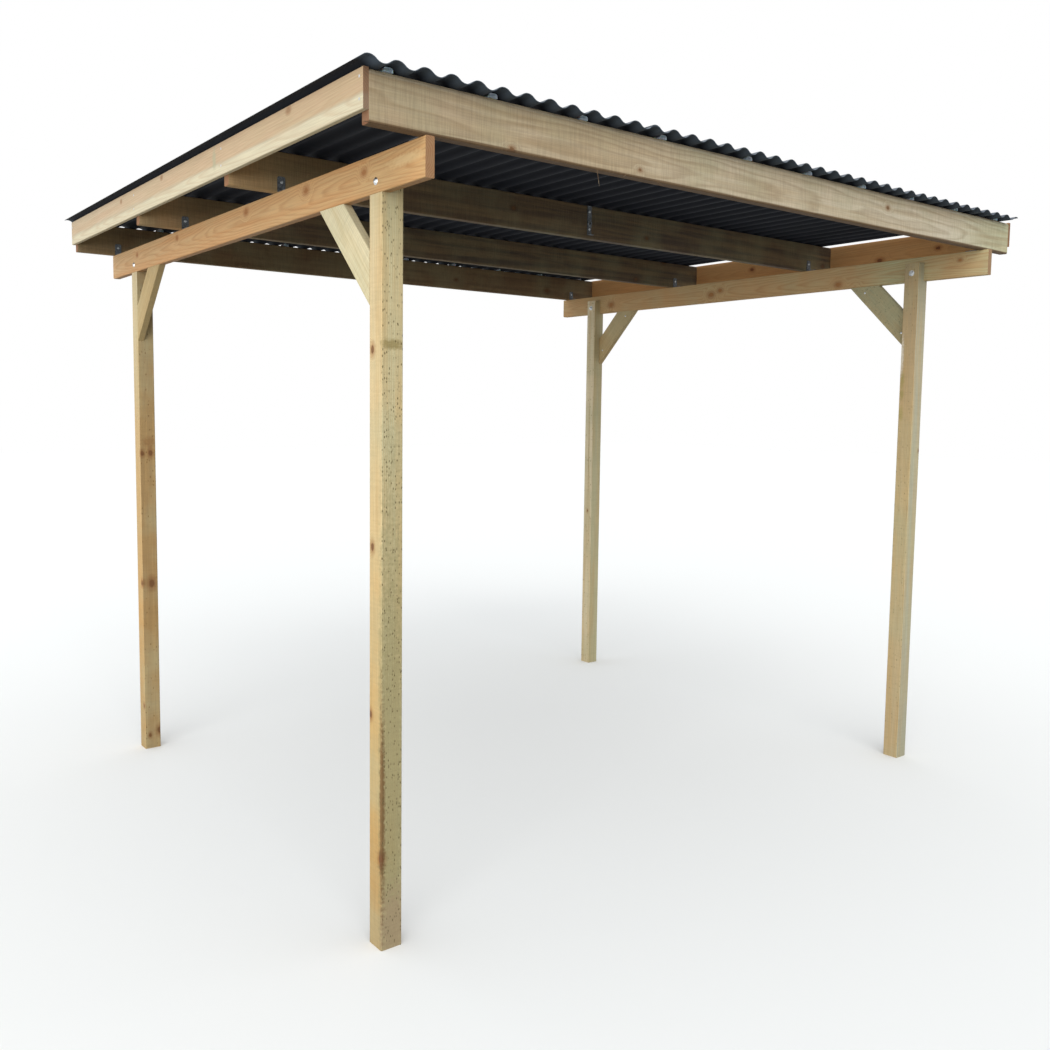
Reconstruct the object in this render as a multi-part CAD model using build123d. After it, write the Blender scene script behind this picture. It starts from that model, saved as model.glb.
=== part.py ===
from build123d import *
from math import asin, cos, sin, sqrt
import os

# Open timber shelter: four posts, two side beams, four cross timbers and a corrugated roof.
# Millimetres. The origin is on the ground under the centre of the timber frame,
# +X is to the right seen from the front, +Y runs to the back and +Z is up.

# Overall sizes of the frame
frame_width = 2656.0          # across the outer faces of the two side beams
frame_depth = 2545.0          # front face of the front beam to back face of the back beam
beam_top = 2140.0             # ground to the top edge of the side beams

# Posts
post_side = 65.0
post_ease = 3.0               # rounded long edges
left_front_setback = 206.0    # front of the frame to the post's front face
left_back_setback = 260.0     # back of the frame to the post's back face
right_front_setback = 252.0
right_back_setback = 238.0
tongue_below_top = 28.0       # head of the post below the top of the side beam

# Side beams
beam_thickness = 26.0
beam_height = 100.0
beam_ease = 2.0               # planed-off long edges, here and below
beam_back_round = 9.0         # worn lower corner at the back end
right_beam_front_reach = 18.0  # the right board is longer and stands out past the front beam
right_beam_back_reach = 20.0   # and past the back beam

# Knee braces
brace_width = 100.0
brace_thickness = 26.0
brace_reach = 285.0           # long edge, along the beam and down the post
brace_ease = 1.5

# Cross timbers
cross_thickness = 32.0
cross_height = 123.0
cross_overhang = 155.0        # past the outer face of the side beam
cross_ease = 3.0
front_top_chamfer = 7.0       # planed-off upper edge of the front beam

# Fascias
fascia_thickness = 15.0
fascia_height = 95.0
fascia_proud = 2.0            # above the cross timbers, inside the hollow of the end corrugation
fascia_ease = 1.5

# Corrugated sheets
pitch = 76.0
corrugation_height = 16.0     # overall, with the sheet's thickness
sheet_thickness = 1.5
crest_count = 40
left_last_crest = 12          # the lap crest shared by the left and the middle sheet
right_first_crest = 27        # the lap crest shared by the middle and the right sheet
roof_shift = -25.0            # the roof lies off centre to the left
sheet_edge = 12.0             # side edge of a sheet past its last crest
front_drip = 44.0             # sheet past the front beam
back_drip = 30.0
lap_clearance = 0.3           # between two nested sheets, square to their faces

# Coach bolts through side beam and post tongue
bolt_below_top = 69.0
bolt_diameter = 8.0
bolt_head_diameter = 20.6
bolt_head_height = 5.0
bolt_neck_side = 8.0
bolt_neck_depth = 5.0
bolt_end_past_nut = 4.0
bolt_hole_clearance = 0.5     # on the radius
washer_diameter = 24.0
washer_thickness = 2.0
washer_hole_clearance = 0.4   # on the radius
nut_across_flats = 13.0
nut_height = 6.5
thread_clearance = 0.05       # on the radius, nut to bolt
nut_chamfer = 0.8

# Angle brackets between cross timbers and side beams
bracket_leg = 48.0
bracket_width = 26.0
bracket_gauge = 2.0
bracket_bend = 2.0            # inner bend radius
bracket_hole = 5.0
bracket_hole_from_end = 17.0
bracket_corner = 4.0

# Strap with an eye at mid-span of the front purlin
strap_width = 20.0
strap_length = 110.0
strap_gauge = 2.5
strap_from_centre = -50.0
strap_above_edge = 12.0       # lower end above the lower edge of the purlin
strap_foot_reach = 16.0
strap_eye_height = 45.0       # eye above the strap's lower end
strap_eye_hole = 9.0
strap_eye_rim = 22.0
strap_eye_stands = 3.5
strap_eye_chamfer = 1.5
strap_hole = 5.0

# Places that follow from the sizes above
front_y = -frame_depth / 2
back_y = frame_depth / 2
beam_bottom = beam_top - beam_height
half_width = frame_width / 2
cross_half = half_width + cross_overhang
cross_top = beam_top + cross_height
cross_step = (frame_depth - cross_thickness) / 3
bolt_z = beam_top - bolt_below_top
tongue_depth = post_side - beam_thickness

# The sheet's section is a chain of equal arcs: crest and trough have the same radius
wave_depth = corrugation_height - sheet_thickness
wave_radius = ((pitch / 2) ** 2 + wave_depth**2) / (4 * wave_depth)
wave_angle = asin(pitch / 4 / wave_radius)
edge_angle = asin(sheet_edge / wave_radius)
lap_lift = (sheet_thickness + lap_clearance) / cos(edge_angle)
first_crest_x = roof_shift - (crest_count - 1) * pitch / 2

SIDES = {"left": -1, "right": 1}
ENDS = ("front", "back")
SETBACKS = {
    ("front", "left"): left_front_setback,
    ("front", "right"): right_front_setback,
    ("back", "left"): left_back_setback,
    ("back", "right"): right_back_setback,
}
BEAM_REACH = {
    ("front", "left"): 0.0,
    ("front", "right"): right_beam_front_reach,
    ("back", "left"): 0.0,
    ("back", "right"): right_beam_back_reach,
}
CROSS_NAMES = ["front_beam", "purlin_front", "purlin_rear", "back_beam"]

nodes = {}


def post_centre_y(end, side):
    """Middle of a post along the side beam."""
    inset = SETBACKS[end, side] + post_side / 2
    return front_y + inset if end == "front" else back_y - inset


def beam_end_y(end, side):
    """Cut end of a side beam."""
    return front_y - BEAM_REACH[end, side] if end == "front" else back_y + BEAM_REACH[end, side]


def cross_front_y(index):
    """Front face of cross timber number index, counted from the front."""
    return front_y + index * cross_step


def plank(low, high):
    """Square-edged block between two corners."""
    size = [b - a for a, b in zip(low, high)]
    return Pos(*low) * Box(*size, align=(Align.MIN, Align.MIN, Align.MIN))


def together(pieces):
    """Like pieces of one side, kept as separate solids."""
    return Compound([piece.solid() for piece in pieces])


def eased(block, axis, width):
    """Take the sharpness off the long edges that run along one axis."""
    return chamfer(block.edges().filter_by(axis), width)


def make_post(end, side):
    """Square post whose outer half is cut away at the head to seat the side beam."""
    sign = SIDES[side]
    centre_x = sign * (half_width - post_side / 2)
    centre_y = post_centre_y(end, side)
    height = beam_top - tongue_below_top
    body = Pos(centre_x, centre_y, height / 2) * Box(post_side, post_side, height)
    body = fillet(body.edges().filter_by(Axis.Z), post_ease)
    notch_x = sign * (half_width - beam_thickness / 2)
    notch_height = height - beam_bottom
    notch = Pos(notch_x, centre_y, beam_bottom + notch_height / 2)
    body -= notch * Box(beam_thickness, post_side, notch_height)
    body -= bolt_hole(sign, centre_y)
    return body


def bolt_hole(sign, centre_y):
    """Cutter for the bolt hole, longer than all the timber it crosses."""
    hole = Cylinder(bolt_diameter / 2 + bolt_hole_clearance, 2 * post_side)
    return Pos(sign * (half_width - post_side / 2), centre_y, bolt_z) * Rot(0, 90, 0) * hole


def neck_hole(sign, centre_y):
    """Square hole that the bolt's neck is drawn into."""
    side = bolt_neck_side + 2 * bolt_hole_clearance
    depth = bolt_neck_depth + bolt_hole_clearance
    return Pos(sign * (half_width - depth / 2), centre_y, bolt_z) * Box(depth, side, side)


def make_side_beam(side):
    """Board on edge, bored at both posts, with its back lower corner worn round."""
    sign = SIDES[side]
    inner = sign * (half_width - beam_thickness)
    outer = sign * half_width
    low = (min(inner, outer), beam_end_y("front", side), beam_bottom)
    body = plank(low, (max(inner, outer), beam_end_y("back", side), beam_top))
    body = eased(body, Axis.Y, beam_ease)
    body -= worn_corner(side)
    for end in ENDS:
        body -= bolt_hole(sign, post_centre_y(end, side))
        body -= neck_hole(sign, post_centre_y(end, side))
    return body


def worn_corner(side):
    """Cutter that leaves the lower back corner of a side beam round."""
    middle_x = SIDES[side] * (half_width - beam_thickness / 2)
    corner = Pos(middle_x, beam_end_y("back", side), beam_bottom)
    block = Box(2 * beam_thickness, 2 * beam_back_round, 2 * beam_back_round)
    roll = Rot(0, 90, 0) * Cylinder(beam_back_round, 3 * beam_thickness)
    return corner * (block - Pos(0, -beam_back_round, beam_back_round) * roll)


def make_brace(end, side):
    """Knee brace in line with the side beam, its ends cut to the beam and to the post."""
    sign = SIDES[side]
    towards = 1 if end == "front" else -1
    face_y = post_centre_y(end, side) + towards * post_side / 2
    short_reach = brace_reach - brace_width * sqrt(2)
    outline = Polyline(
        (face_y + towards * short_reach, beam_bottom),
        (face_y + towards * brace_reach, beam_bottom),
        (face_y, beam_bottom - brace_reach),
        (face_y, beam_bottom - short_reach),
        close=True,
    )
    face = Plane.YZ * make_face(outline)
    start_x = half_width - brace_thickness if sign > 0 else -half_width
    body = Pos(start_x, 0, 0) * extrude(face, brace_thickness, dir=(1, 0, 0))
    sloping = body.edges().filter_by(lambda e: abs(e.tangent_at(0).X) < 0.1)
    return chamfer(sloping.filter_by(lambda e: e.length > 1.5 * brace_width), brace_ease)


def make_cross_timber(index):
    """Cross timber on edge; the front one has its upper front edge planed off."""
    low_y = cross_front_y(index)
    low = (-cross_half, low_y, beam_top)
    body = plank(low, (cross_half, low_y + cross_thickness, cross_top))
    long_edges = body.edges().filter_by(Axis.X)
    if index > 0:
        return chamfer(long_edges, cross_ease)
    top_front = long_edges.group_by(Axis.Z)[-1].sort_by(Axis.Y)[0]
    body = chamfer(top_front, front_top_chamfer)
    rest = body.edges().filter_by(Axis.X).group_by(Axis.Z)[0]
    return chamfer(rest, cross_ease)


def make_fascia(side):
    """Thin board nailed over the ends of the cross timbers."""
    sign = SIDES[side]
    inner = sign * cross_half
    outer = sign * (cross_half + fascia_thickness)
    top = cross_top + fascia_proud
    low = (min(inner, outer), front_y, top - fascia_height)
    body = plank(low, (max(inner, outer), back_y, top))
    return eased(body, Axis.Y, fascia_ease)


def wave_points(first, last, offset, lift):
    """Ends and middles of the arcs of one face, from left to right.

    offset is the distance of the face from the middle of the sheet's thickness.
    """
    points = []
    for crest in range(first, last + 1):
        crest_x = first_crest_x + crest * pitch
        crest_centre = cross_top + sheet_thickness / 2 + wave_depth - wave_radius + lift
        trough_centre = cross_top + sheet_thickness / 2 + wave_radius + lift
        left = edge_angle if crest == first else wave_angle
        right = edge_angle if crest == last else wave_angle
        crest_radius = wave_radius + offset
        for angle in (-left, 0, right):
            x = crest_x + crest_radius * sin(angle)
            points.append((x, crest_centre + crest_radius * cos(angle)))
        if crest < last:
            bottom = trough_centre - (wave_radius - offset)
            points.append((crest_x + pitch / 2, bottom))
    return points


def wave_face(first, last, offset, lift):
    """One face of the sheet as a chain of tangent arcs."""
    points = wave_points(first, last, offset, lift)
    arcs = []
    for start in range(0, len(points) - 2, 2):
        arcs.append(ThreePointArc(*points[start : start + 3]))
    return arcs, points[0], points[-1]


def make_sheet(first, last, lift):
    """Corrugated sheet that lies with its troughs on the cross timbers, or lifted over its neighbours."""
    half = sheet_thickness / 2
    upper, upper_left, upper_right = wave_face(first, last, half, lift)
    lower, lower_left, lower_right = wave_face(first, last, -half, lift)
    ends = [Line(upper_left, lower_left), Line(upper_right, lower_right)]
    section = make_face(Curve() + upper + lower + ends)
    length = front_drip + frame_depth + back_drip
    standing = Plane((0, back_y + back_drip, 0), x_dir=(1, 0, 0), z_dir=(0, -1, 0)) * section
    return extrude(standing, length, dir=(0, -1, 0))


def make_bolt(end, side):
    """Coach bolt with a domed head, a square neck and a plain shank."""
    sign = SIDES[side]
    grip = post_side + washer_thickness + nut_height + bolt_end_past_nut
    dome_radius = ((bolt_head_diameter / 2) ** 2 + bolt_head_height**2) / (2 * bolt_head_height)
    dome = Pos(0, 0, bolt_head_height - dome_radius) * Sphere(dome_radius)
    keep = Cylinder(bolt_head_diameter, bolt_head_height, align=(Align.CENTER, Align.CENTER, Align.MIN))
    neck = Pos(0, 0, -bolt_neck_depth / 2) * Box(bolt_neck_side, bolt_neck_side, bolt_neck_depth)
    shank = Cylinder(bolt_diameter / 2, grip, align=(Align.CENTER, Align.CENTER, Align.MAX))
    body = (dome & keep) + neck + shank
    return bolt_place(sign, post_centre_y(end, side)) * body


def bolt_place(sign, centre_y):
    """Where the head's flat side meets the side beam, +Z pointing outwards."""
    return Location((sign * half_width, centre_y, bolt_z), (0, sign * 90, 0))


def make_washer(end, side):
    """Round washer against the inner face of the post."""
    body = Cylinder(washer_diameter / 2, washer_thickness)
    body -= Cylinder(bolt_diameter / 2 + washer_hole_clearance, washer_thickness)
    depth = post_side + washer_thickness / 2
    return bolt_place(SIDES[side], post_centre_y(end, side)) * Pos(0, 0, -depth) * body


def make_nut(end, side):
    """Hexagon nut on the washer, chamfered on the side that faces the room."""
    hexagon = RegularPolygon(nut_across_flats / 2, 6, major_radius=False)
    body = extrude(hexagon, nut_height)
    top_radius = hexagon.bounding_box().size.X / 2 - nut_chamfer
    cone = Cone(top_radius + nut_height, top_radius, nut_height)
    body &= Pos(0, 0, nut_height / 2) * cone
    body -= Pos(0, 0, nut_height / 2) * Cylinder(bolt_diameter / 2 + thread_clearance, nut_height)
    depth = post_side + washer_thickness
    return bolt_place(SIDES[side], post_centre_y(end, side)) * Pos(0, 0, -depth) * Rot(180, 0, 0) * body


def make_bracket(index, side):
    """Bent angle plate in the corner between a cross timber and the top of the side beam."""
    half = bracket_width / 2
    flat = plank((-half, 0, 0), (half, bracket_leg, bracket_gauge))
    upright = plank((-half, 0, 0), (half, bracket_gauge, bracket_leg))
    body = flat + upright
    bends = body.edges().filter_by(Axis.X)
    heel = bends.sort_by(lambda e: e.center().Y + e.center().Z)[0]
    body = fillet(heel, bracket_bend + bracket_gauge)
    throat = body.edges().filter_by(Axis.X).filter_by(is_throat)
    body = fillet(throat, bracket_bend)
    tips = body.edges().filter_by(Axis.Z).group_by(Axis.Y)[-1]
    body = chamfer(tips, bracket_corner)
    tips = body.edges().filter_by(Axis.Y).group_by(Axis.Z)[-1]
    body = chamfer(tips, bracket_corner)
    hole_reach = bracket_leg - bracket_hole_from_end
    drill = Cylinder(bracket_hole / 2, 2 * bracket_bend + 2 * bracket_gauge)
    body -= Pos(0, hole_reach, 0) * drill
    body -= Pos(0, 0, hole_reach) * Rot(90, 0, 0) * drill
    centre_x = SIDES[side] * (half_width - beam_thickness / 2)
    if index == 0:
        return Pos(centre_x, cross_front_y(index) + cross_thickness, beam_top) * body
    return Pos(centre_x, cross_front_y(index), beam_top) * Rot(0, 0, 180) * body


def is_throat(edge):
    """True for the inner edge of the bend of an angle bracket."""
    middle = edge.center()
    return abs(middle.Y - bracket_gauge) < 0.01 and abs(middle.Z - bracket_gauge) < 0.01


def make_tie_strap():
    """Flat strap on the front purlin with a rolled eye and a foot bent towards the front."""
    half = strap_width / 2
    plate = plank((-half, -strap_gauge, 0), (half, 0, strap_length))
    foot = plank((-half, -strap_foot_reach, 0), (half, 0, strap_gauge))
    body = plate + foot
    heel = body.edges().filter_by(Axis.X).group_by(Axis.Z)[0].sort_by(Axis.Y)[-1]
    body = fillet(heel, strap_gauge)
    eye = Pos(0, -strap_gauge, strap_eye_height) * Rot(90, 0, 0)
    rim = Cylinder(strap_eye_rim / 2, strap_eye_stands, align=(Align.CENTER, Align.CENTER, Align.MIN))
    rim = chamfer(rim.edges().group_by(Axis.Z)[-1], strap_eye_chamfer)
    body += eye * rim
    body -= eye * Cylinder(strap_eye_hole / 2, 4 * strap_gauge)
    for height in (strap_length - strap_eye_height / 2, strap_eye_height / 2):
        drill = Pos(0, -strap_gauge, height) * Rot(90, 0, 0)
        body -= drill * Cylinder(strap_hole / 2, 4 * strap_gauge)
    tips = body.edges().filter_by(Axis.Y).group_by(Axis.Z)[-1]
    body = fillet(tips, strap_gauge)
    return Pos(strap_from_centre, cross_front_y(1), beam_top + strap_above_edge) * body


for index, name in enumerate(CROSS_NAMES):
    nodes[name] = make_cross_timber(index)

for side in SIDES:
    for end in ENDS:
        nodes["post_" + end + "_" + side] = make_post(end, side)
        nodes["brace_" + end + "_" + side] = make_brace(end, side)
    nodes["side_beam_" + side] = make_side_beam(side)
    nodes["fascia_" + side] = make_fascia(side)
    nodes["bolts_" + side] = together(make_bolt(end, side) for end in ENDS)
    nodes["washers_" + side] = together(make_washer(end, side) for end in ENDS)
    nodes["nuts_" + side] = together(make_nut(end, side) for end in ENDS)
    nodes["brackets_" + side] = together(make_bracket(index, side) for index in range(len(CROSS_NAMES)))

nodes["roof_sheet_left"] = make_sheet(0, left_last_crest, 0)
nodes["roof_sheet_middle"] = make_sheet(left_last_crest, right_first_crest, lap_lift)
nodes["roof_sheet_right"] = make_sheet(right_first_crest, crest_count - 1, 0)
nodes["tie_strap"] = make_tie_strap()

os.makedirs("parts", exist_ok=True)
for name, piece in nodes.items():
    export_step(piece, "parts/" + name + ".step")
print(len(nodes), "pieces written")
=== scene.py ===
import bpy
import bmesh
import math
import random
from mathutils import Matrix, Vector


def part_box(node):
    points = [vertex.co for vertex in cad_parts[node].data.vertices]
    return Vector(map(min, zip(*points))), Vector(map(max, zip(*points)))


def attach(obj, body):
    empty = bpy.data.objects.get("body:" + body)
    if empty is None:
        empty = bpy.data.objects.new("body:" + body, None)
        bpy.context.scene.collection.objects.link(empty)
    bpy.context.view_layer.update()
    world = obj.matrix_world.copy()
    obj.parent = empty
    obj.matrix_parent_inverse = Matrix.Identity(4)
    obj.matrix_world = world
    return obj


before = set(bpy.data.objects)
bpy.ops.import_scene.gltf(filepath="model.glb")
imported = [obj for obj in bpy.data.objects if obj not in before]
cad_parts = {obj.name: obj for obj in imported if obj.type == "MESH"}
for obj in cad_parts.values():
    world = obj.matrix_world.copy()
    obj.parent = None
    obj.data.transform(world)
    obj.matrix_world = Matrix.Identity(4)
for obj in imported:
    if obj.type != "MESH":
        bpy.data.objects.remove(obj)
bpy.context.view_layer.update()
mm = 0.001
random.seed(41)
print("frame loaded:", len(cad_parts), "nodes")

crossNames = ["front_beam", "purlin_front", "purlin_rear", "back_beam"]
sideSign = {"left": -1, "right": 1}
leftWay, rightWay = (-1, 0, 0), (1, 0, 0)
frontWay, backWay = (0, -1, 0), (0, 1, 0)
downWay, upWay = (0, 0, -1), (0, 0, 1)


# Camera: at eye height off the front left corner, where the photograph was taken from
cameraSetup = {
    "place": (-2.6643, -3.3587, 1.4858),
    "turnRight": 37.093,        # degrees from straight ahead
    "tiltUp": -4.928,
    "roll": 0.647,
    "lens": 34.40,              # mm
    "sensor": 36.0,
    "shift": (0.02213, -0.02784),
}


def makeCamera(setup):
    turn, tilt, roll = (math.radians(setup[key]) for key in ("turnRight", "tiltUp", "roll"))
    ahead = Vector((math.sin(turn) * math.cos(tilt), math.cos(turn) * math.cos(tilt), math.sin(tilt)))
    level = Vector((math.cos(turn), -math.sin(turn), 0))
    upright = level.cross(ahead)
    right = math.cos(roll) * level + math.sin(roll) * upright
    up = math.cos(roll) * upright - math.sin(roll) * level
    data = bpy.data.cameras.new("photoCamera")
    data.lens = setup["lens"]
    data.sensor_width = setup["sensor"]
    data.shift_x, data.shift_y = setup["shift"]
    camera = bpy.data.objects.new("photoCamera", data)
    bpy.context.scene.collection.objects.link(camera)
    axes = Matrix((right, up, -ahead)).transposed().to_4x4()
    camera.matrix_world = Matrix.Translation(setup["place"]) @ axes
    bpy.context.scene.camera = camera


makeCamera(cameraSetup)
bpy.context.scene.view_settings.view_transform = "Standard"
print("camera placed")


# Colours are written as sRGB hex and turned to linear here
def colour(hexText):
    parts = [int(hexText[i:i + 2], 16) / 255 for i in (1, 3, 5)]
    return [p / 12.92 if p <= 0.04045 else ((p + 0.055) / 1.055) ** 2.4 for p in parts] + [1]


# Adds one node. A (node, output) pair becomes a link, a hex text becomes a colour, and stops are the
# places of a colour ramp, each with a grey level or a hex colour.
def put(tree, kind, values=None, stops=(), **settings):
    node = tree.nodes.new(kind)
    for key, value in settings.items():
        setattr(node, key, value)
    for key, value in (values or {}).items():
        if isinstance(value, tuple) and len(value) == 2 and hasattr(value[0], "outputs"):
            tree.links.new(value[0].outputs[value[1]], node.inputs[key])
        else:
            node.inputs[key].default_value = colour(value) if isinstance(value, str) else value
    if stops:
        elements = node.color_ramp.elements
        while len(elements) < len(stops):
            elements.new(0.5)
        for element, (place, value) in zip(elements, stops):
            element.position = place
            element.color = colour(value) if isinstance(value, str) else (value, value, value, 1)
    return node


# Values of a Map Range that rises from one place to another, which may lie below the first
def rising(start, full, amount=1.0):
    return {"From Min": start, "From Max": full, "To Max": amount}


# Paints layers over a colour, one after another: a mask, a colour and the way they are mixed
def paintOver(tree, tone, layers):
    for mask, over, mixing in layers:
        mixed = put(tree, "ShaderNodeMix", {0: mask, 6: tone, 7: over}, data_type="RGBA", blend_type=mixing)
        tone = (mixed, 2)
    return tone


def startMaterial(name):
    material = bpy.data.materials.new(name)
    material.use_nodes = True
    material.node_tree.nodes.clear()
    return material, material.node_tree


def finishMaterial(tree, surface):
    put(tree, "ShaderNodeOutputMaterial", {"Surface": (surface, 0)})


# Stage: a pale floor, an overcast sky and two lamps
stageSetup = {
    "floorSize": 60.0,
    "floorSeen": "#F2F2EF",     # what the camera and reflections see
    "floorBounce": "#2B2A26",   # what lights the underside, like turf
    "floorBeside": "#B0ACA2",   # and beyond its two sides, like paving
    "besideFrom": 1.75,         # metres from the middle
    "skyColour": "#F4F7FB",
    "skyStrength": 1.0,
    "skySeen": "#FFFFFF",
    "sunStrength": 1.65,
    "sunFrom": (-0.62, -0.86, 0.50),
    "sunSoftness": 60.0,        # degrees, an overcast day
    "bouncePlace": (-12.0, -3.0, 1.05),
    "bounceAim": (0.0, -1.0, 1.4),
    "bounceSize": (20.0, 2.0),
    "bouncePower": 620.0,       # light that comes in low from the open left side
}


def seenDirectly(tree):
    path = put(tree, "ShaderNodeLightPath")
    seen = put(tree, "ShaderNodeMath", {0: (path, "Is Camera Ray"), 1: (path, "Is Glossy Ray")},
               operation="MAXIMUM")
    through = put(tree, "ShaderNodeMath", {0: (seen, 0), 1: (path, "Is Transmission Ray")},
                  operation="MAXIMUM")
    return through, 0


def makeFloor(setup):
    bpy.ops.object.select_all(action="DESELECT")
    bpy.ops.mesh.primitive_plane_add(size=setup["floorSize"], location=(0, 0, 0))
    floor = bpy.context.object
    floor.name = "floor"
    material, tree = startMaterial("paleFloor")
    place = put(tree, "ShaderNodeTexCoord")
    parts = put(tree, "ShaderNodeSeparateXYZ", {0: (place, "Object")})
    away = put(tree, "ShaderNodeMath", {0: (parts, 0)}, operation="ABSOLUTE")
    beside = put(tree, "ShaderNodeMath", {0: (away, 0), 1: setup["besideFrom"]}, operation="GREATER_THAN")
    tone = paintOver(tree, setup["floorBounce"], [((beside, 0), setup["floorBeside"], "MIX"),
                                                  (seenDirectly(tree), setup["floorSeen"], "MIX")])
    finishMaterial(tree, put(tree, "ShaderNodeBsdfDiffuse", {"Color": tone}))
    floor.data.materials.append(material)


def makeSky(setup):
    world = bpy.data.worlds.new("overcastSky")
    world.use_nodes = True
    bpy.context.scene.world = world
    tree = world.node_tree
    tree.nodes.clear()
    light = put(tree, "ShaderNodeBackground", {"Color": setup["skyColour"], "Strength": setup["skyStrength"]})
    white = put(tree, "ShaderNodeBackground", {"Color": setup["skySeen"], "Strength": 1.0})
    mixed = put(tree, "ShaderNodeMixShader", {0: seenDirectly(tree), 1: (light, 0), 2: (white, 0)})
    put(tree, "ShaderNodeOutputWorld", {"Surface": (mixed, 0)})


# A lamp at a place, with the direction that its light comes from
def hangLamp(data, place, comesFrom):
    lamp = bpy.data.objects.new(data.name, data)
    lamp.location = place
    lamp.rotation_euler = comesFrom.to_track_quat("Z", "Y").to_euler()
    lamp.visible_camera = False
    bpy.context.scene.collection.objects.link(lamp)


def makeLamps(setup):
    sun = bpy.data.lights.new("softSun", "SUN")
    sun.energy = setup["sunStrength"]
    sun.angle = math.radians(setup["sunSoftness"])
    hangLamp(sun, (0, 0, 0), Vector(setup["sunFrom"]))

    bounce = bpy.data.lights.new("sideBounce", "AREA")
    bounce.shape = "RECTANGLE"
    bounce.size, bounce.size_y = setup["bounceSize"]
    bounce.energy = setup["bouncePower"]
    hangLamp(bounce, setup["bouncePlace"], Vector(setup["bouncePlace"]) - Vector(setup["bounceAim"]))


makeFloor(stageSetup)
makeSky(stageSetup)
makeLamps(stageSetup)
print("stage and light made")


# Sawn or planed pine, pressure treated. The pattern is that of a real log: year rings round a pith beside
# the board, so that faces show arches and lines and the cut ends show arcs. Places on a board are
# millimetres in the shared frame, measured where the real boards show knots and stains.
timberDefaults = {
    "tones": [(0.0, "#D9BC8B"), (1.0, "#D9BC8B")],  # spring wood from one end of the board to the other; on the purlins, painted light fading to painted shade
    "late": "#B5894F",         # darker summer wood
    "ringMm": 7.0,
    "ringContrast": 0.5,
    "pithMm": (10.0, 55.0),    # pith from the board's middle, across its width and its thickness
    "taper": 0.012,            # rings shift this much along the board, which draws the arches
    "waveMm": 9.0,             # how far the rings wander
    "patch": "#C79A63",        # broad streaks
    "patchAmount": 0.4,
    "green": "#A3A57A",        # preservative
    "greenAmount": 0.25,
    "fibreAmount": 0.7,
    "end": "#B98A5C",          # cut ends
    "endRing": "#7A4F32",
    "knot": "#6E4423",
    "knots": [],               # x, y, z, radius
    "spareKnots": 0,           # more of them, at random places
    "stains": [],              # place, half sizes, colour, amount
    "bands": [],               # from and to across the width, softness, wobble, colour, amount
    "faces": [],               # direction, colour, amount
    "specks": None,            # cell size, dot size as a share of it, colour, direction of the face
    "sawMm": 0.0,              # spacing of saw marks square to the grain, 0 for a planed face
    "sawDepth": 0.0,
    "roughness": 0.78,
    "ior": 1.45,
    "bump": 0.5,
    "bumpMm": 1.2,
}

# How the figure is drawn, alike on every board. Scales are cells per metre along the grain, across it and
# through the board. Masks give where they start, where they are full and how strong they are.
figureSetup = {
    "seedStep": 1.73,                # metres along the log from one board to the next
    "seedAside": 0.37,
    "noiseSpan": 4,                  # noise keeps near its middle, so this brings it to its full reach
    "rough": 90.0,                   # 11 mm, for ragged outlines
    "fibre": (8.0, 380.0, 380.0),    # 2.6 mm wide, coarser than real fibres so that they show
    "fibreShade": [(0.28, 0.74), (0.68, 1.0)],
    "streak": (1.7, 48.0, 48.0),     # 21 mm wide
    "streakMask": (0.40, 0.64),
    "cloud": 5.0,                    # 200 mm
    "cloudMask": (0.42, 0.66),
    "faceMask": (0.55, 0.85),        # cosine of the angle between a face and a direction
    "endMask": (0.72, 0.85, 0.8),
    "fibreRelief": 0.8,
}


def faceMask(tree, place, direction, amount, edges=figureSetup["faceMask"], least=0.0):
    turned = put(tree, "ShaderNodeVectorMath", {0: (place, "Normal"), 1: direction}, operation="DOT_PRODUCT")
    mask = put(tree, "ShaderNodeMapRange", {"Value": (turned, "Value"), "To Min": least,
                                            **rising(*edges, amount)})
    return mask, 0


# Knots: dark cores with a brown rim, longer along the grain. Distances are in knot radii.
knotSetup = {
    "raggedMm": 6.0,
    "stretch": 1.5,
    "core": (1.1, 0.7, 0.85),
    "rim": (2.6, 0.9, 0.6),
    "rimTint": "#B98656",
    "swell": (5.0, 0.0),             # where they push the year rings aside
    "swellMm": 30.0,
    "spareMm": (6.0, 11.0),          # radius of a knot at a random place
    "farAway": 9.0,
}


def placeKnots(setup, low, high):
    knots = list(setup["knots"])
    thin = min(range(3), key=lambda axis: high[axis] - low[axis])
    for _ in range(setup["spareKnots"]):
        spot = [random.uniform(start, stop) / mm for start, stop in zip(low, high)]
        spot[thin] = random.choice((low[thin], high[thin])) / mm
        knots.append((*spot, random.uniform(*knotSetup["spareMm"])))
    return knots


def knotDistance(tree, place, rough, turn, knots):
    reach = knotSetup["raggedMm"] * mm
    roughened = put(tree, "ShaderNodeVectorMath", {0: (rough, "Color"), 1: (reach, reach, reach),
                                                   2: (place, "Object")}, operation="MULTIPLY_ADD")
    far = put(tree, "ShaderNodeValue")
    far.outputs[0].default_value = knotSetup["farAway"]
    nearest = (far, 0)
    for *centre, radiusMm in knots:
        radius = radiusMm * mm
        squeezed = put(tree, "ShaderNodeMapping",
                       {"Vector": (roughened, 0), "Location": [part * mm + reach / 2 for part in centre],
                        "Rotation": turn, "Scale": (knotSetup["stretch"] * radius, radius, radius)},
                       vector_type="TEXTURE")
        distance = put(tree, "ShaderNodeVectorMath", {0: (squeezed, 0)}, operation="LENGTH")
        nearer = put(tree, "ShaderNodeMath", {0: nearest, 1: (distance, "Value")}, operation="MINIMUM")
        nearest = (nearer, 0)
    return nearest


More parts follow.
